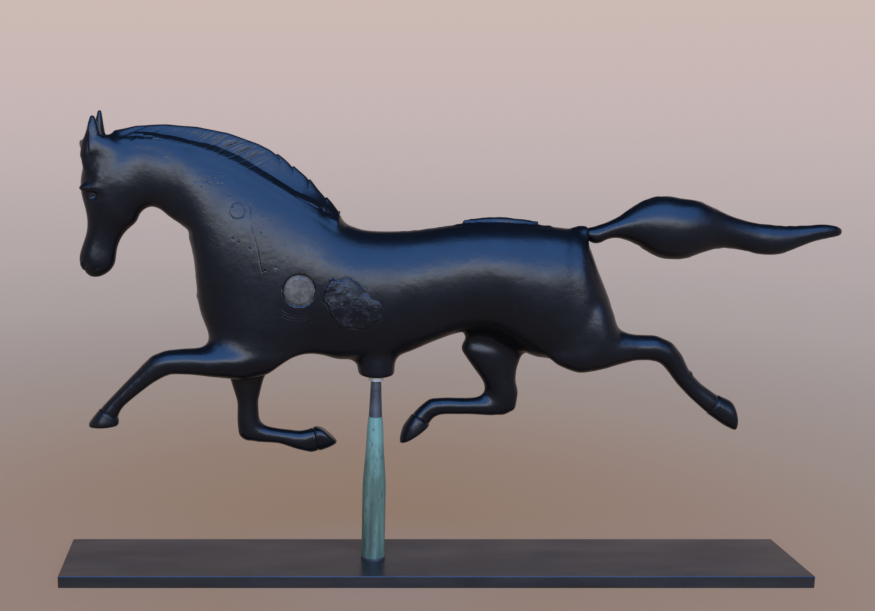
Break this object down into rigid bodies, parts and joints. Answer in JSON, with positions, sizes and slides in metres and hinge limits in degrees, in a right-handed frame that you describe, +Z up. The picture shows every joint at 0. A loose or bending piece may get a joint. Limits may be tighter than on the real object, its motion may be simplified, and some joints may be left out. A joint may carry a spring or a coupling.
{
  "type": "weather vane",
  "caption": "Trotting horse weather vane that turns on, and lifts off, a spindle with a verdigris copper sleeve, standing on a long flat steel bar.",
  "frame": {"origin": "on the spindle axis, at the underside of the base", "axes": "+Z up along the spindle, +X towards the horse's tail, so its left side faces -Y"},
  "size_m": [0.784, 0.1016, 0.475],
  "materials": {
    "black_cast": "satin black patina",
    "dark_steel": "dark brown-grey patina",
    "verdigris_copper": "copper with verdigris",
    "pale_washer": "matt",
    "bright_steel": "ground steel",
    "bronze": "machined bronze"
  },
  "bodies": {
    "stand": {"base_plate": "dark_steel", "spindle": "dark_steel", "copper_sleeve": "verdigris_copper", "foot_collar": "dark_steel", "wear_washer": "pale_washer"},
    "thrust_ball": {"thrust_ball": "bright_steel"},
    "horse": {"spindle_boss": "black_cast", "pivot_tube": "bright_steel", "guide_bush": "bronze", "thrust_cap": "bright_steel", "pivot_bridge": "dark_steel", "left_shell": "black_cast", "right_shell": "black_cast", "core_plug": "black_cast", "neck_tie": "black_cast", "flank_patch": "black_cast", "seam_bead": "black_cast", "mane_crest": "black_cast", "left_ear": "black_cast", "right_ear": "black_cast", "left_foreleg": "black_cast", "right_foreleg": "black_cast", "left_hindleg": "black_cast", "right_hindleg": "black_cast", "leg_nuts": "bright_steel", "tail": "black_cast", "tail_socket": "black_cast", "tail_pin": "bright_steel"}
  },
  "joints": [
    {"name": "vane_turn", "type": "hinge", "parent": "stand", "child": "thrust_ball", "pos_m": [0, 0, 0.32], "axis": [0, 0, 1], "continuous": true},
    {"name": "vane_lift", "type": "slide", "parent": "thrust_ball", "child": "horse", "axis": [0, 0, 1], "range_m": [0, 0.15]}
  ]
}
